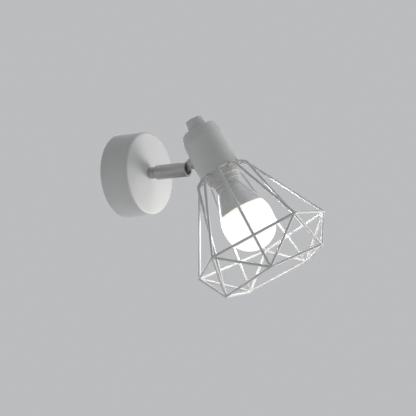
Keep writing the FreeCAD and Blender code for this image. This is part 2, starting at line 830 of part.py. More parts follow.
def lamp_dome():
    outer, inner = dome_side(0), dome_side(lamp_dome_wall)
    rim = seam_edge(lamp_dome_wall)
    end = Part.LineSegment(Vector(0, 0, lamp_end), Vector(0, 0, lamp_end + lamp_dome_wall)).toShape()
    outline = Part.Wire(Part.__sortEdges__([*outer, end, *inner, rim]))
    return on_cup_axis(Part.Face(outline).revolve(Vector(), Vector(0, 0, 1), 360))


def led_board():
    radius = lamp_body_radius - lamp_body_wall - lamp_dome_wall
    return on_cup_axis(Part.makeCylinder(radius, led_board_thickness, Vector(0, 0, body_end)))


# ---- attitude and export ----
def swivelled(shape):
    """Turns an arm or head piece about the arm's axis, clockwise positive as seen from the wall."""
    shape = shape.copy()
    shape.rotate(Vector(), Vector(0, -1, 0), swivel_rest)
    return shape


def tilted(shape):
    """Tilts a head piece about the hinge, mouth away from the wall, and swivels it with the arm."""
    shape = shape.copy()
    shape.rotate(Vector(0, pivot_y, 0), Vector(-1, 0, 0), tilt_rest)
    return swivelled(shape)


def pieces():
    """Every piece by node name, in the attitude it is kept in."""
    wall_side = {
        "canopy": canopy(), "wall_bracket": wall_bracket(), "canopy_side_screws": canopy_side_screws(),
        "terminal_block": terminal_block(), "terminal_screws": terminal_screws(),
        "earth_screw": earth_screw(), "earth_washer": earth_washer(),
    }
    arm_side = {
        "arm": arm(), "hinge_pin": hinge_pin(), "hinge_washers": hinge_washers(),
        "swivel_stop_plate": swivel_stop_plate(), "swivel_spring_washer": swivel_spring_washer(),
        "swivel_nut": swivel_nut(),
    }
    head = {
        "knuckle_tongue": knuckle_tongue(), "tongue_saddle": tongue_saddle(), "tongue_nut": tongue_nut(),
        "holder_cup": holder_cup(), "top_knob": top_knob(), "threaded_nipple": threaded_nipple(),
        "nipple_locknut": nipple_locknut(), "lampholder_cap": lampholder_cap(),
        "lampholder_body": lampholder_body(), "lampholder_insert": lampholder_insert(),
        "socket_shell": socket_shell(), "centre_contact": centre_contact(), "shade_ring": shade_ring(),
        "cage_collar": cage_collar(), "lamp_contact": lamp_contact(), "lamp_insulator": lamp_insulator(),
        "lamp_screw_cap": lamp_screw_cap(), "lamp_body": lamp_body(), "lamp_dome": lamp_dome(),
        "led_board": led_board(), **cage_wires(),
    }
    placed = dict(wall_side)
    placed.update({name: swivelled(shape) for name, shape in arm_side.items()})
    placed.update({name: tilted(shape) for name, shape in head.items()})
    return placed


os.makedirs("parts", exist_ok=True)
for name, shape in pieces().items():
    shape.exportStep(f"parts/{name}.step")
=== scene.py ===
import bmesh
import bpy
import json
import math
import numpy as np
from mathutils import Matrix, Vector


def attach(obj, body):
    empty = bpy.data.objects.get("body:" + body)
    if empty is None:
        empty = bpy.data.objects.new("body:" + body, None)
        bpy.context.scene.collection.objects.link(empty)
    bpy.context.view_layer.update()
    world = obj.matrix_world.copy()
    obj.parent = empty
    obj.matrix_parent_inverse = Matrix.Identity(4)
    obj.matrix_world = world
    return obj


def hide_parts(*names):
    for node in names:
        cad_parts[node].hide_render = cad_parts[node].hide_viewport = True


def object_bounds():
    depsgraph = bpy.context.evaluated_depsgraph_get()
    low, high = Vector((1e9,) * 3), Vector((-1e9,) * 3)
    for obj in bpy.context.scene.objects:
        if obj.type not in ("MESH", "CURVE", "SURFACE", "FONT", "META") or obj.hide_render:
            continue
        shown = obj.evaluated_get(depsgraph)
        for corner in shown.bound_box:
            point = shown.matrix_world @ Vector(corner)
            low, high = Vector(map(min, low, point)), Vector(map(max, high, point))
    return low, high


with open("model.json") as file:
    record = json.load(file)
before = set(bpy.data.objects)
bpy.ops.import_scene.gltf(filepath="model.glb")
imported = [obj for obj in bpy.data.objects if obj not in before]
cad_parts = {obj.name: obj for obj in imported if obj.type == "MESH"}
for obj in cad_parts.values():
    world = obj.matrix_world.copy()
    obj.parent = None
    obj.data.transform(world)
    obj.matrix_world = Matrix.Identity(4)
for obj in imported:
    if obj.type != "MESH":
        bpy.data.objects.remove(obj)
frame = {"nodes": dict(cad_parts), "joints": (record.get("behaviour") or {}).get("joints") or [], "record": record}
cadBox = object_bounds()
nodes = frame["nodes"]
mm = 0.001
print("frame loaded,", len(nodes), "nodes")


# the head's own axes at rest, from the joints: down runs from the cup to the cage's mouth,
# across is the hinge's line, and out points away from the arm, square to both
joints = {joint["name"]: joint for joint in frame["joints"]}
down = Vector(joints["cage_turn"]["axis"])
across = -Vector(joints["head_tilt"]["axis"])
out = down.cross(across)
cupOrigin = Vector(joints["cage_turn"]["pos_m"])    # on the cup's axis, level with the hinge


def onCupAxis(x, y, z):
    # turns arrays of places about the cup's axis (x across, y towards the arm, z up it) into the frame's
    sideways = np.multiply.outer(x, across)
    forward = np.multiply.outer(y, out)
    lower = np.multiply.outer(z, down)
    return np.array(cupOrigin) + sideways - forward - lower


# small node helpers used by every finish
def addNode(tree, kind, **settings):
    made = tree.nodes.new(kind)
    for name, value in settings.items():
        setattr(made, name, value)
    return made


def noiseField(tree, scale, detail=3.0, stretch=(1, 1, 1), turn=(0, 0, 0)):
    # fractal noise over the piece's own coordinates, slowed down along an axis by a small stretch
    coordinates = addNode(tree, "ShaderNodeTexCoord")
    mapping = addNode(tree, "ShaderNodeMapping", vector_type="TEXTURE")
    mapping.inputs["Rotation"].default_value = turn
    squeeze = addNode(tree, "ShaderNodeMapping")
    squeeze.inputs["Scale"].default_value = stretch
    noise = addNode(tree, "ShaderNodeTexNoise")
    noise.inputs["Scale"].default_value = scale
    noise.inputs["Detail"].default_value = detail
    tree.links.new(coordinates.outputs["Object"], mapping.inputs["Vector"])
    tree.links.new(mapping.outputs["Vector"], squeeze.inputs["Vector"])
    tree.links.new(squeeze.outputs["Vector"], noise.inputs["Vector"])
    return noise.outputs["Fac"]


def cellField(tree, scale):
    # the distance to the middle of the nearest of many small cells
    coordinates = addNode(tree, "ShaderNodeTexCoord")
    cells = addNode(tree, "ShaderNodeTexVoronoi")
    cells.inputs["Scale"].default_value = scale
    tree.links.new(coordinates.outputs["Object"], cells.inputs["Vector"])
    return cells.outputs["Distance"]


def toRange(tree, field, low, high, fromLow=0.3, fromHigh=0.7):
    spread = addNode(tree, "ShaderNodeMapRange")
    for name, value in (("From Min", fromLow), ("From Max", fromHigh), ("To Min", low), ("To Max", high)):
        spread.inputs[name].default_value = value
    tree.links.new(field, spread.inputs["Value"])
    return spread.outputs["Result"]


def blendColours(tree, amount, first, second):
    # a Mix node keeps its two colours at sockets 6 and 7 and gives the blend at output 2
    mix = addNode(tree, "ShaderNodeMix", data_type="RGBA")
    tree.links.new(amount, mix.inputs[0])
    for colour, socket in ((first, mix.inputs[6]), (second, mix.inputs[7])):
        if isinstance(colour, tuple):
            socket.default_value = (*colour, 1)
        else:
            tree.links.new(colour, socket)
    return mix.outputs[2]


def bumpStack(tree, layers, edgeRound):
    # soft edges first, where a piece has edges, then each height field in turn with its depth and strength
    normal = None
    if edgeRound:
        bevel = addNode(tree, "ShaderNodeBevel", samples=6)
        bevel.inputs["Radius"].default_value = edgeRound
        normal = bevel.outputs["Normal"]
    for field, depth, strength in layers:
        bump = addNode(tree, "ShaderNodeBump")
        bump.inputs["Distance"].default_value = depth
        bump.inputs["Strength"].default_value = strength
        tree.links.new(field, bump.inputs["Height"])
        if normal:
            tree.links.new(normal, bump.inputs["Normal"])
        normal = bump.outputs["Normal"]
    return normal


def newFinish(name, **fixed):
    # a material whose constant values sit on the shader's own sockets
    material = bpy.data.materials.new(name)
    material.use_nodes = True
    shader = material.node_tree.nodes["Principled BSDF"]
    for socket, value in fixed.items():
        shader.inputs[socket.replace("_", " ")].default_value = value
    return material, material.node_tree, shader


powderCoat = {
    "tone": (0.77, 0.775, 0.77),
    "shade": (0.70, 0.705, 0.71),
    "dust": (0.66, 0.655, 0.64),
    "roughness": (0.36, 0.50),
    "cloudScale": 26,
    "dustScale": 900,
    "dustPeaks": (0.62, 0.80),      # only the noise's peaks hold dust
    "dustAmount": 0.5,
    "roughScale": 75,
    "peelScale": 620,               # bumps of about 1.5 mm, as powder flows out
    "peelDepth": 0.05 * mm,
    "grainScale": 3400,
    "grainDepth": 0.012 * mm,
}


def makePowderCoat(name, bumpStrength, edgeRound):
    look = powderCoat
    material, tree, shader = newFinish(name, Specular_IOR_Level=0.5)
    clouds = toRange(tree, noiseField(tree, look["cloudScale"], detail=4.0), 0, 1)
    dust = noiseField(tree, look["dustScale"], detail=2.0)
    specks = toRange(tree, dust, 0, look["dustAmount"], *look["dustPeaks"])
    tone = blendColours(tree, clouds, look["tone"], look["shade"])
    tone = blendColours(tree, specks, tone, look["dust"])
    tree.links.new(tone, shader.inputs["Base Color"])
    rough = toRange(tree, noiseField(tree, look["roughScale"]), *look["roughness"])
    tree.links.new(rough, shader.inputs["Roughness"])
    peel = noiseField(tree, look["peelScale"], detail=1.5)
    grain = noiseField(tree, look["grainScale"], detail=2.0)
    layers = ((peel, look["peelDepth"], bumpStrength), (grain, look["grainDepth"], bumpStrength))
    tree.links.new(bumpStack(tree, layers, edgeRound), shader.inputs["Normal"])
    return material


brushedSteel = {
    "tone": (0.41, 0.41, 0.415),
    "bright": (0.50, 0.50, 0.505),
    "stain": (0.30, 0.297, 0.29),
    "stainScale": 60,
    "stainPeaks": (0.52, 0.74),
    "stainAmount": 0.8,
    "roughness": (0.38, 0.54),
    "lineScale": 2600,              # brush lines 0.4 mm apart and 20 mm long
    "lineStretch": 0.02,
    "lineBump": (0.012 * mm, 0.5),
    "streakScale": 620,
    "streakStretch": 0.06,
    "streakBump": (0.02 * mm, 0.35),
    "edgeRound": 0.25 * mm,
}


def makeBrushedSteel(name, turn):
    # brush lines run along the turned Y axis, which without a turn is square to the wall
    look = brushedSteel
    material, tree, shader = newFinish(name, Metallic=1.0, Anisotropic=0.45)
    lines = noiseField(tree, look["lineScale"], 2.0, (1, look["lineStretch"], 1), turn)
    streaks = noiseField(tree, look["streakScale"], 3.0, (1, look["streakStretch"], 1), turn)
    patches = noiseField(tree, look["stainScale"], detail=4.0)
    stains = toRange(tree, patches, 0, look["stainAmount"], *look["stainPeaks"])
    tone = blendColours(tree, toRange(tree, streaks, 0, 1), look["tone"], look["bright"])
    tone = blendColours(tree, stains, tone, look["stain"])
    tree.links.new(tone, shader.inputs["Base Color"])
    tree.links.new(toRange(tree, lines, *look["roughness"]), shader.inputs["Roughness"])
    layers = ((streaks, *look["streakBump"]), (lines, *look["lineBump"]))
    tree.links.new(bumpStack(tree, layers, look["edgeRound"]), shader.inputs["Normal"])
    return material


zincPlate = {
    "tone": (0.56, 0.57, 0.585),
    "yellow": (0.575, 0.565, 0.53),
    "dull": (0.46, 0.465, 0.475),
    "cloudScale": 110,
    "roughness": (0.24, 0.42),
    "roughScale": 300,
    "spangleScale": 420,            # crystals of about 2.5 mm
    "spangleReach": (0.2, 0.9),
    "dullAmount": 0.6,
    "spangleBump": (0.01 * mm, 0.12),
    "grainScale": 1800,
    "grainBump": (0.01 * mm, 0.15),
    "edgeRound": 0.2 * mm,
}


def makeZincPlate():
    look = zincPlate
    material, tree, shader = newFinish("zincPlate", Metallic=1.0)
    clouds = toRange(tree, noiseField(tree, look["cloudScale"], detail=4.0), 0, 1)
    spangle = cellField(tree, look["spangleScale"])
    dulled = toRange(tree, spangle, 0, look["dullAmount"], *look["spangleReach"])
    tone = blendColours(tree, clouds, look["tone"], look["yellow"])
    tone = blendColours(tree, dulled, tone, look["dull"])
    tree.links.new(tone, shader.inputs["Base Color"])
    rough = toRange(tree, noiseField(tree, look["roughScale"]), *look["roughness"])
    tree.links.new(rough, shader.inputs["Roughness"])
    grain = noiseField(tree, look["grainScale"], detail=2.0)
    layers = ((spangle, *look["spangleBump"]), (grain, *look["grainBump"]))
    tree.links.new(bumpStack(tree, layers, look["edgeRound"]), shader.inputs["Normal"])
    return material


turnedMetal = {
    "brass": {"tone": (0.70, 0.50, 0.20), "dull": (0.42, 0.29, 0.12), "roughness": (0.22, 0.40)},
    "nickelCap": {"tone": (0.62, 0.61, 0.58), "dull": (0.44, 0.43, 0.41), "roughness": (0.22, 0.36)},
    "aluminiumBoard": {"tone": (0.72, 0.72, 0.73), "dull": (0.60, 0.60, 0.61), "roughness": (0.36, 0.52)},
}
turning = {
    "tarnishScale": 240,
    "tarnishPeaks": (0.42, 0.75),
    "roughScale": 500,
    "markScale": 2400,
    "markStretch": (0.05, 0.05, 1),
    "markBump": (0.01 * mm, 0.4),
    "edgeRound": 0.15 * mm,
}


def makeTurnedMetal(name):
    # tarnish in patches, over fine tool marks that lie level
    look = turnedMetal[name]
    material, tree, shader = newFinish(name, Metallic=1.0)
    patches = noiseField(tree, turning["tarnishScale"], detail=4.0)
    tarnish = toRange(tree, patches, 0, 1, *turning["tarnishPeaks"])
    tree.links.new(blendColours(tree, tarnish, look["tone"], look["dull"]), shader.inputs["Base Color"])
    rough = toRange(tree, noiseField(tree, turning["roughScale"]), *look["roughness"])
    tree.links.new(rough, shader.inputs["Roughness"])
    toolMarks = noiseField(tree, turning["markScale"], 2.0, turning["markStretch"])
    layers = ((toolMarks, *turning["markBump"]),)
    tree.links.new(bumpStack(tree, layers, turning["edgeRound"]), shader.inputs["Normal"])
    return material


mouldedPlastic = {
    "holderPlastic": {
        "tone": (0.70, 0.70, 0.685), "shade": (0.62, 0.62, 0.60), "roughness": (0.42, 0.56),
        "sparkScale": 2600, "sparkDepth": 0.02 * mm, "fixed": {"Subsurface_Weight": 0.08},
    },
    "lampHousing": {
        "tone": (0.76, 0.765, 0.77), "shade": (0.70, 0.705, 0.71), "roughness": (0.20, 0.30),
        "sparkScale": 700, "sparkDepth": 0.008 * mm, "fixed": {"Coat_Weight": 0.35, "Coat_Roughness": 0.12},
    },
    "clearNylon": {
        "tone": (0.74, 0.74, 0.70), "shade": (0.66, 0.655, 0.60), "roughness": (0.34, 0.50),
        "sparkScale": 1500, "sparkDepth": 0.015 * mm, "fixed": {"Subsurface_Weight": 0.35},
    },
    "blackGlass": {
        "tone": (0.018, 0.018, 0.02), "shade": (0.035, 0.034, 0.033), "roughness": (0.12, 0.24),
        "sparkScale": 900, "sparkDepth": 0.01 * mm, "fixed": {"Coat_Weight": 0.5},
    },
}
moulding = {
    "flowScale": 48,
    "flowStretch": (1, 1, 0.4),
    "roughScale": 160,
    "sparkStrength": 0.5,
    "scatter": (0.9 * mm, 0.8 * mm, 0.7 * mm),
    "edgeRound": 0.25 * mm,
}


def makeMouldedPlastic(name):
    # soft flow lines in the tone, over the fine texture that spark erosion leaves in a mould
    look = mouldedPlastic[name]
    material, tree, shader = newFinish(name, **look["fixed"])
    shader.inputs["Subsurface Radius"].default_value = moulding["scatter"]
    flow = toRange(tree, noiseField(tree, moulding["flowScale"], 4.0, moulding["flowStretch"]), 0, 1)
    tree.links.new(blendColours(tree, flow, look["tone"], look["shade"]), shader.inputs["Base Color"])
    rough = toRange(tree, noiseField(tree, moulding["roughScale"]), *look["roughness"])
    tree.links.new(rough, shader.inputs["Roughness"])
    spark = noiseField(tree, look["sparkScale"], detail=2.0)
    layers = ((spark, look["sparkDepth"], moulding["sparkStrength"]),)
    tree.links.new(bumpStack(tree, layers, moulding["edgeRound"]), shader.inputs["Normal"])
    return material


litDiffuser = {
    "tone": (0.60, 0.60, 0.595),
    "cloud": (0.55, 0.55, 0.545),
    "cloudScale": 40,
    "glow": (1.0, 0.985, 0.96),
    "warm": (1.0, 0.84, 0.68),
    "strength": 0.80,
    "roughness": 0.34,
    "seamLevel": -77.9 * mm,        # up the cup's axis from the hinge's level
    "warmBand": (0.2 * mm, 2.2 * mm),       # below the seam the warm tone fades between these
    "frostScale": 1300,
    "frostBump": (0.01 * mm, 0.4),
    "edgeRound": 0.2 * mm,
}


def makeLitDiffuser():
    # the opal dome glows white, and warmer in a thin band beside the seam
    look = litDiffuser
    fixed = {"Roughness": look["roughness"], "Emission_Strength": look["strength"]}
    material, tree, shader = newFinish("litDiffuser", **fixed)
    coordinates = addNode(tree, "ShaderNodeTexCoord")
    fromSeam = addNode(tree, "ShaderNodeVectorMath", operation="SUBTRACT")
    fromSeam.inputs[1].default_value = cupOrigin - down * look["seamLevel"]
    alongAxis = addNode(tree, "ShaderNodeVectorMath", operation="DOT_PRODUCT")
    alongAxis.inputs[1].default_value = down
    tree.links.new(coordinates.outputs["Object"], fromSeam.inputs[0])
    tree.links.new(fromSeam.outputs["Vector"], alongAxis.inputs[0])
    band = toRange(tree, alongAxis.outputs["Value"], 1, 0, *look["warmBand"])
    tree.links.new(blendColours(tree, band, look["glow"], look["warm"]), shader.inputs["Emission Color"])
    cloud = toRange(tree, noiseField(tree, look["cloudScale"]), 0, 1)
    tree.links.new(blendColours(tree, cloud, look["tone"], look["cloud"]), shader.inputs["Base Color"])
    layers = ((noiseField(tree, look["frostScale"], detail=2.0), *look["frostBump"]),)
    tree.links.new(bumpStack(tree, layers, look["edgeRound"]), shader.inputs["Normal"])
    return material


tongueTurn = Matrix((across, -out, -down)).transposed().to_euler()     # brush lines from cup to arm
finishes = {
    "white_paint": makePowderCoat("powderCoat", bumpStrength=0.45, edgeRound=0.35 * mm),
    "satin_steel": makeBrushedSteel("brushedSteel", (0, 0, 0)),
    "zinc_plate": makeZincPlate(),
    "brass": makeTurnedMetal("brass"),
    "nickel_cap": makeTurnedMetal("nickelCap"),
    "aluminium_board": makeTurnedMetal("aluminiumBoard"),
    "holder_plastic": makeMouldedPlastic("holderPlastic"),
    "lamp_housing": makeMouldedPlastic("lampHousing"),
    "clear_nylon": makeMouldedPlastic("clearNylon"),
    "black_glass": makeMouldedPlastic("blackGlass"),
    "lamp_diffuser": makeLitDiffuser(),
}
ownFinishes = {"knuckle_tongue": makeBrushedSteel("brushedTongue", tongueTurn)}
wireFinish = makePowderCoat("wirePowderCoat", bumpStrength=0.12, edgeRound=0)   # smoother, on thin wire


def dressNodes():
    for part in frame["record"]["subparts"]:
        name = part["node"]
        finish = ownFinishes.get(name, finishes[part["material_slot"]])
        mesh = nodes[name].data
        mesh.materials.clear()
        mesh.materials.append(finish)


dressNodes()
print("finishes on", len(nodes), "nodes")


def gridMesh(points):
    # points is rows x columns x 3; each cell becomes one quad, and the last column joins the first
    rows, columns = points.shape[:2]
    row, column = np.meshgrid(np.arange(rows - 1), np.arange(columns), indexing="ij")
    following = (column + 1) % columns
    quads = np.stack([
        row * columns + column, row * columns + following,
        (row + 1) * columns + following, (row + 1) * columns + column,
    ], axis=-1)
    return points.reshape(-1, 3), quads.reshape(-1, 4)


mergeWithin = 0.0001 * mm
sharpAngle = math.radians(60)       # keeps the cut ends of the wires flat


def buildPiece(name, sheets, body, finish):
    # joins several grids into one closed mesh object that rides on a body
    vertices, faces, offset = [], [], 0
    for points, quads in sheets:
        vertices.append(points)
        faces.append(quads + offset)
        offset += len(points)
    mesh = bpy.data.meshes.new(name)
    mesh.from_pydata(np.vstack(vertices).tolist(), [], np.vstack(faces).tolist())
    closed = bmesh.new()
    closed.from_mesh(mesh)
    bmesh.ops.remove_doubles(closed, verts=closed.verts, dist=mergeWithin)
    bmesh.ops.recalc_face_normals(closed, faces=closed.faces)
    closed.to_mesh(mesh)
    closed.free()
    mesh.shade_smooth()
    mesh.set_sharp_from_angle(angle=sharpAngle)
    piece = bpy.data.objects.new(name, mesh)
    bpy.context.scene.collection.objects.link(piece)
    mesh.materials.append(finish)
    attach(piece, body)
    return piece


cage = {
    "sides": 5,
    "turn": math.radians(98.5),     # where the waist's first corner lies round the cup's axis
    "wireRadius": 1.5 * mm,
    "wireFaces": 28,                # round the wire
    "arcPoints": 10,
    "runStep": 2.5 * mm,
    "waist": {"radius": 86.0 * mm, "level": -120.9 * mm, "bend": 3.0 * mm, "firstStep": 0},
    "mouth": {"radius": 64.5 * mm, "level": -159.1 * mm, "bend": 5.0 * mm, "firstStep": 0.5},
    "footRadius": 20.5 * mm,        # where the ribs start, under the collar
    "footLevel": -28.9 * mm,
    "shoulderRadius": 32.0 * mm,
    "shoulderLevel": -29.5 * mm,
    "shoulderBend": 10.0 * mm,
    "collarUnderside": -27.4 * mm,
}


def cageAngle(step):
    # step counts the cage's sides: whole numbers at the waist's corners, halves at the mouth's
    return cage["turn"] + 2 * math.pi * step / cage["sides"]


def cagePoint(radius, level, step):
    angle = cageAngle(step)
    return np.array([radius * math.cos(angle), radius * math.sin(angle), level])


def cornerRadius(ring):
    # rounding takes bend (1 / sin(half the corner) - 1) off the distance of a ring's sharp corner
    halfCorner = math.pi * (0.5 - 1 / cage["sides"])
    return ring["radius"] - ring["bend"] * (1 / math.sin(halfCorner) - 1)


def unit(vector):
    return vector / np.linalg.norm(vector, axis=-1, keepdims=True)


def roundedCorner(before, corner, after, bend):
    # an arc that touches both runs: each point is its centre plus the two end radii, weighted by the sines
    # of the turn that is left and the turn that is done, over the sine of the whole turn
    back, onward = unit(before - corner), unit(after - corner)
    half = 0.5 * math.acos(back @ onward)
    centre = corner + unit(back + onward) * bend / math.sin(half)
    first = corner + back * bend / math.tan(half) - centre
    last = corner + onward * bend / math.tan(half) - centre
    turn = math.pi - 2 * half
    t = np.linspace(0, 1, cage["arcPoints"])[:, None]
    return centre + (np.sin((1 - t) * turn) * first + np.sin(t * turn) * last) / math.sin(turn)


def evenRuns(path):
    # keeps the points of the bends and adds one every few millimetres along the straight runs
    micron = 6      # decimals of a metre, so that no two points nearly meet
    lengths = np.linalg.norm(np.diff(path, axis=0), axis=1)
    run = np.round(np.append(0, np.cumsum(lengths)), micron)
    added = np.round(np.arange(0, run[-1], cage["runStep"]), micron)
    stops = np.union1d(run, added)
    return np.stack([np.interp(stops, run, path[:, k]) for k in range(3)], axis=-1)


def wireSheet(path, square, closed):
    # a circle carried along a flat path: path + r (side cos v + square sin v), where side is across the path;
    # an open wire ends in a flat disc, and a ring ends on its first circle
    path = evenRuns(np.vstack([path, path[:1]]) if closed else path)
    ahead = unit(np.diff(path, axis=0))
    before, after = (ahead[-1:], ahead[:1]) if closed else (ahead[:1], ahead[-1:])
    along = unit(np.vstack([before, ahead]) + np.vstack([ahead, after]))
    side = np.cross(along, square)
    size = np.full(len(path), cage["wireRadius"])
    if not closed:
        path, side = (np.concatenate([a[:1], a, a[-1:]]) for a in (path, side))
        size = np.concatenate([[0], size, [0]])
    v = np.linspace(0, 2 * math.pi, cage["wireFaces"], endpoint=False)[None, :, None]
    points = path[:, None] + size[:, None, None] * (np.cos(v) * side[:, None] + np.sin(v) * square)
    return gridMesh(onCupAxis(points[..., 0], points[..., 1], points[..., 2]))


def ringPath(ring):
    # the rounded corners one after another, each from the sharp corners before, at and after it
    steps = ring["firstStep"] + np.arange(-1, cage["sides"] + 1)
    corners = [cagePoint(ring["radius"], ring["level"], step) for step in steps]
    return np.concatenate([roundedCorner(*corners[k:k + 3], ring["bend"]) for k in range(cage["sides"])])


def ribPath(ring, step):
    # straight out from the foot, round the shoulder and straight down to the ring's corner
    foot = cagePoint(cage["footRadius"], cage["footLevel"], step)
    shoulder = cagePoint(cage["shoulderRadius"], cage["shoulderLevel"], step)
    end = cagePoint(cornerRadius(ring), ring["level"], step)
    return np.vstack([foot, roundedCorner(foot, shoulder, end, cage["shoulderBend"]), end])


def makeWire(node, path, square, closed=False):
    piece = buildPiece(node + "_wire", [wireSheet(path, square, closed)], "cage", wireFinish)
    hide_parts(node)


def makeCageWires():
    # the two rings, then on each side an outer rib, an inner rib and the two struts of one mouth corner
    waist, mouth = cage["waist"], cage["mouth"]
    upward = np.array([0, 0, 1.0])
    makeWire("cage_waist_ring", ringPath(waist), upward, closed=True)
    makeWire("cage_mouth_ring", ringPath(mouth), upward, closed=True)
    for k in range(cage["sides"]):
        for kind, ring in (("outer", waist), ("inner", mouth)):
            step = k + ring["firstStep"]
            square = np.cross(upward, unit(cagePoint(1, 0, step)))
            makeWire(f"cage_{kind}_rib_{k + 1}", ribPath(ring, step), square)
        end = cagePoint(cornerRadius(mouth), mouth["level"], k + mouth["firstStep"])
        for number, step in ((2 * k + 1, k), (2 * k + 2, k + 1)):
            start = cagePoint(cornerRadius(waist), waist["level"], step)
            square = unit(np.cross(end - start, upward))
            makeWire(f"cage_strut_{number}", np.stack([start, end]), square)


weldBead = {
    "along": 2.7 * mm,
    "round": 1.8 * mm,
    "inward": 0.35 * mm,            # the weld lies on the inside of the corner
    "liftAtMouth": 0.35 * mm,
    "ripple": 0.05,
    "wavesRound": 3,
    "wavesAlong": 5,
    "phaseSteps": (1.7, 2.3),       # from bead to bead at the waist and at the mouth, so that no two match
    "rings": 18,
    "segments": 24,
}


def beadGrid():
    # u runs along a bead from pole to pole, and v once round it
    u = np.linspace(0, math.pi, weldBead["rings"])[:, None]
    v = np.linspace(0, 2 * math.pi, weldBead["segments"], endpoint=False)[None, :]
    return u, v


def beadSheet(step, reach, side, height):
    # reach is out from the cup's axis towards a step of the cage, and side is square to that
    angle = cageAngle(step)
    x = reach * math.cos(angle) - side * math.sin(angle)
    y = reach * math.sin(angle) + side * math.cos(angle)
    return gridMesh(onCupAxis(x, y, height))


def weldBeadSheet(ring, step, lift, phase):
    # an egg-shaped bead: a sphere drawn out along the ring's tangent, its radius rippled by two slow waves
    look = weldBead
    u, v = beadGrid()
    waves = np.sin(look["wavesRound"] * v + phase) * np.sin(u) + np.sin(look["wavesAlong"] * u + 2 * phase)
    swell = 1 + look["ripple"] * waves
    side = look["along"] * np.cos(u) * swell
    reach = cornerRadius(ring) - look["inward"] + look["round"] * np.sin(u) * np.cos(v) * swell
    height = ring["level"] + lift + look["round"] * np.sin(u) * np.sin(v) * swell
    return beadSheet(step, reach, side, height)


footWeld = {
    "middle": 21.9 * mm,            # from the cup's axis
    "along": 1.35 * mm,
    "across": 2.5 * mm,
    "deep": 1.25 * mm,
    "ripple": 0.08,
    "wavesRound": 3,
    "phaseSteps": (1.1, 2.9),       # from bead to bead at the outer and at the inner ribs
}


def footWeldSheet(step, phase):
    # an egg lying under the collar, long across the wire, with its upper half pressed flat on the collar
    look = footWeld
    u, v = beadGrid()
    swell = 1 + look["ripple"] * np.sin(look["wavesRound"] * v + phase) * np.sin(u)
    side = look["across"] * np.cos(u) * swell
    reach = look["middle"] + look["along"] * np.sin(u) * np.cos(v) * swell
    height = np.minimum(look["deep"] * np.sin(u) * np.sin(v) * swell, 0)
    return beadSheet(step, reach, side, cage["collarUnderside"] + height)


def makeWeldBeads():
    waist, mouth = cage["waist"], cage["mouth"]
    waistPhase, mouthPhase = weldBead["phaseSteps"]
    outerPhase, innerPhase = footWeld["phaseSteps"]
    sheets = []
    for k in range(cage["sides"]):
        mouthStep = k + mouth["firstStep"]
        sheets.append(weldBeadSheet(waist, k, 0, waistPhase * k))
        sheets.append(weldBeadSheet(mouth, mouthStep, weldBead["liftAtMouth"], mouthPhase * k))
        sheets.append(footWeldSheet(k, outerPhase * k))
        sheets.append(footWeldSheet(mouthStep, innerPhase * k))
    buildPiece("cage_weld_beads", sheets, "cage", wireFinish)


makeCageWires()
makeWeldBeads()
print("cage wires and weld beads made")


studio = {
    "floorDrop": 750 * mm,          # below the object's lowest point
    "floorRadius": 12.0,
    "floorSides": 96,
    "floorTone": (0.74, 0.745, 0.755),
    "floorShade": 0.985,            # the clouds' tone over the paper's
    "floorCloudScale": 1.5,
    "floorRoughness": 0.85,
    "backTone": (0.50, 0.505, 0.515),
    "floorVeil": 0.75,              # how much of the backdrop's tone the camera sees in the paper
    "fadeStart": 1.2,               # past this distance the paper turns into the backdrop
    "fadeEnd": 3.8,
    "ambient": 0.15,
}


def makeFloorPaper():
    # pale paper near the object, which keeps its shadow, fading with distance to the backdrop's tone;
    # seen from underneath it is clear, so the light can be looked at from below
    look = studio
    material, tree, shader = newFinish("floorPaper", Roughness=look["floorRoughness"])
    shade = tuple(look["floorShade"] * c for c in look["floorTone"])
    cloud = toRange(tree, noiseField(tree, look["floorCloudScale"], detail=2.0), 0, 1)
    tree.links.new(blendColours(tree, cloud, look["floorTone"], shade), shader.inputs["Base Color"])
    coordinates = addNode(tree, "ShaderNodeTexCoord")
    distance = addNode(tree, "ShaderNodeVectorMath", operation="LENGTH")
    tree.links.new(coordinates.outputs["Object"], distance.inputs[0])
    path = addNode(tree, "ShaderNodeLightPath")
    veil = toRange(tree, path.outputs["Is Camera Ray"], 0, look["floorVeil"], 0, 1)
    fade = toRange(tree, distance.outputs["Value"], 0, 1, look["fadeStart"], look["fadeEnd"])
    amount = addNode(tree, "ShaderNodeMath", operation="MAXIMUM")
    tree.links.new(veil, amount.inputs[0])
    tree.links.new(fade, amount.inputs[1])
    far = addNode(tree, "ShaderNodeEmission")
    far.inputs["Color"].default_value = (*look["backTone"], 1)
    clear = addNode(tree, "ShaderNodeBsdfTransparent")
    side = addNode(tree, "ShaderNodeNewGeometry")
    paper = addNode(tree, "ShaderNodeMixShader")
    sheet = addNode(tree, "ShaderNodeMixShader")
    output = tree.nodes["Material Output"]
    tree.links.new(amount.outputs[0], paper.inputs[0])
    tree.links.new(shader.outputs[0], paper.inputs[1])
    tree.links.new(far.outputs[0], paper.inputs[2])
    tree.links.new(side.outputs["Backfacing"], sheet.inputs[0])
    tree.links.new(paper.outputs[0], sheet.inputs[1])
    tree.links.new(clear.outputs[0], sheet.inputs[2])
    tree.links.new(sheet.outputs[0], output.inputs["Surface"])
    return material


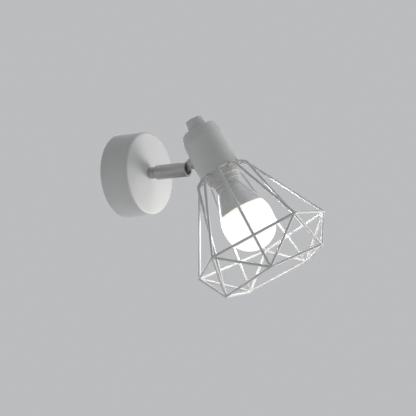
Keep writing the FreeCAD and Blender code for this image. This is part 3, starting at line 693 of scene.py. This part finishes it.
def makeFloor():
    # a round sheet of paper, as a fan of triangles from its middle to its rim
    look = studio
    sides = np.arange(look["floorSides"])
    v = 2 * math.pi * sides / len(sides)
    x = np.append(look["floorRadius"] * np.cos(v), 0)
    y = np.append(look["floorRadius"] * np.sin(v), 0)
    level = np.full(len(x), cadBox[0][2] - look["floorDrop"])
    middle = np.full(len(sides), len(sides))
    fan = np.stack([middle, sides, (sides + 1) % len(sides)], axis=-1)
    mesh = bpy.data.meshes.new("floor")
    mesh.from_pydata(np.stack([x, y, level], axis=-1).tolist(), [], fan.tolist())
    floor = bpy.data.objects.new("floor", mesh)
    bpy.context.scene.collection.objects.link(floor)
    mesh.materials.append(makeFloorPaper())


def makeWorld():
    # camera, glossy and transmitted rays see the backdrop's tone; the rest get a plain ambient light
    look = studio
    world = bpy.data.worlds.new("studioWorld")
    bpy.context.scene.world = world
    world.use_nodes = True
    tree = world.node_tree
    tree.nodes.clear()
    output = addNode(tree, "ShaderNodeOutputWorld")
    seen = addNode(tree, "ShaderNodeBackground")
    seen.inputs["Color"].default_value = (*look["backTone"], 1)
    ambient = addNode(tree, "ShaderNodeBackground")
    ambient.inputs["Color"].default_value = (1, 1, 1, 1)
    ambient.inputs["Strength"].default_value = look["ambient"]
    path = addNode(tree, "ShaderNodeLightPath")
    cameraOrGlossy = addNode(tree, "ShaderNodeMath", operation="MAXIMUM")
    showsBackdrop = addNode(tree, "ShaderNodeMath", operation="MAXIMUM")
    tree.links.new(path.outputs["Is Camera Ray"], cameraOrGlossy.inputs[0])
    tree.links.new(path.outputs["Is Glossy Ray"], cameraOrGlossy.inputs[1])
    tree.links.new(cameraOrGlossy.outputs[0], showsBackdrop.inputs[0])
    tree.links.new(path.outputs["Is Transmission Ray"], showsBackdrop.inputs[1])
    mix = addNode(tree, "ShaderNodeMixShader")
    tree.links.new(showsBackdrop.outputs[0], mix.inputs[0])
    tree.links.new(ambient.outputs[0], mix.inputs[1])
    tree.links.new(seen.outputs[0], mix.inputs[2])
    tree.links.new(mix.outputs[0], output.inputs["Surface"])


lamps = {
    "keyLight": {"place": (0.80, -1.00, -0.40), "size": 0.8, "power": 11.5, "tone": (1.0, 0.99, 0.975)},
    "topLight": {"place": (0.25, -0.45, 1.10), "size": 1.0, "power": 3.5, "tone": (0.97, 0.98, 1.0)},
    "sideLight": {"place": (-0.75, -0.02, -0.55), "size": 0.6, "power": 0.9, "tone": (1.0, 1.0, 1.0)},
    "rearLight": {"place": (0.70, 1.00, 0.35), "size": 0.9, "power": 7.0, "tone": (1.0, 1.0, 1.0)},
}
lampAim = Vector((0.02, -0.11, -0.03))      # near the middle of the object


def makeLamps():
    for name, look in lamps.items():
        light = bpy.data.lights.new(name, "AREA")
        light.shape = "DISK"
        light.size = look["size"]
        light.energy = look["power"]
        light.color = look["tone"]
        lamp = bpy.data.objects.new(name, light)
        lamp.location = look["place"]
        lamp.visible_camera = False
        lamp.rotation_mode = "QUATERNION"
        lamp.rotation_quaternion = (lampAim - lamp.location).to_track_quat("-Z", "Y")
        bpy.context.scene.collection.objects.link(lamp)


glow = {
    "level": 100 * mm,              # down the cup's axis from the hinge's level, the middle of the dome
    "radius": 10 * mm,
    "power": 0.19,
    "tone": (1.0, 0.975, 0.94),
}


def makeGlow():
    # the lit lamp's light on the wires about it, moving with the lamp; the dome neither takes nor stops it
    light = bpy.data.lights.new("lampGlow", "POINT")
    light.shadow_soft_size = glow["radius"]
    light.energy = glow["power"]
    light.color = glow["tone"]
    lamp = bpy.data.objects.new("lampGlow", light)
    lamp.location = cupOrigin + down * glow["level"]
    lamp.visible_camera = False
    bpy.context.scene.collection.objects.link(lamp)
    allButDome = bpy.data.collections.new("allButDome")
    allButDome.objects.link(nodes["lamp_dome"])
    allButDome.collection_objects[0].light_linking.link_state = "EXCLUDE"
    lamp.light_linking.receiver_collection = allButDome
    lamp.light_linking.blocker_collection = allButDome
    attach(lamp, "lamp")


# the photo's point of view, fitted to the cage's corners and the canopy's circles
view = {
    "place": (-1.1595, -0.8240, -0.2473),
    "towards": (0.8445, 0.5154, 0.1454),
    "focalPixels": 1200,
    "imagePixels": 416,
    "sensor": 36.0,
    "nearest": 0.05,
}


def makeCamera():
    lens = bpy.data.cameras.new("photoCamera")
    lens.sensor_width = view["sensor"]
    lens.lens = view["sensor"] * view["focalPixels"] / view["imagePixels"]
    lens.clip_start = view["nearest"]
    camera = bpy.data.objects.new("photoCamera", lens)
    camera.location = view["place"]
    camera.rotation_mode = "QUATERNION"
    camera.rotation_quaternion = Vector(view["towards"]).to_track_quat("-Z", "Y")
    bpy.context.scene.collection.objects.link(camera)
    bpy.context.scene.camera = camera


makeFloor()
makeWorld()
makeLamps()
makeGlow()
makeCamera()
bpy.context.scene.view_settings.view_transform = "Standard"
print("studio ready")
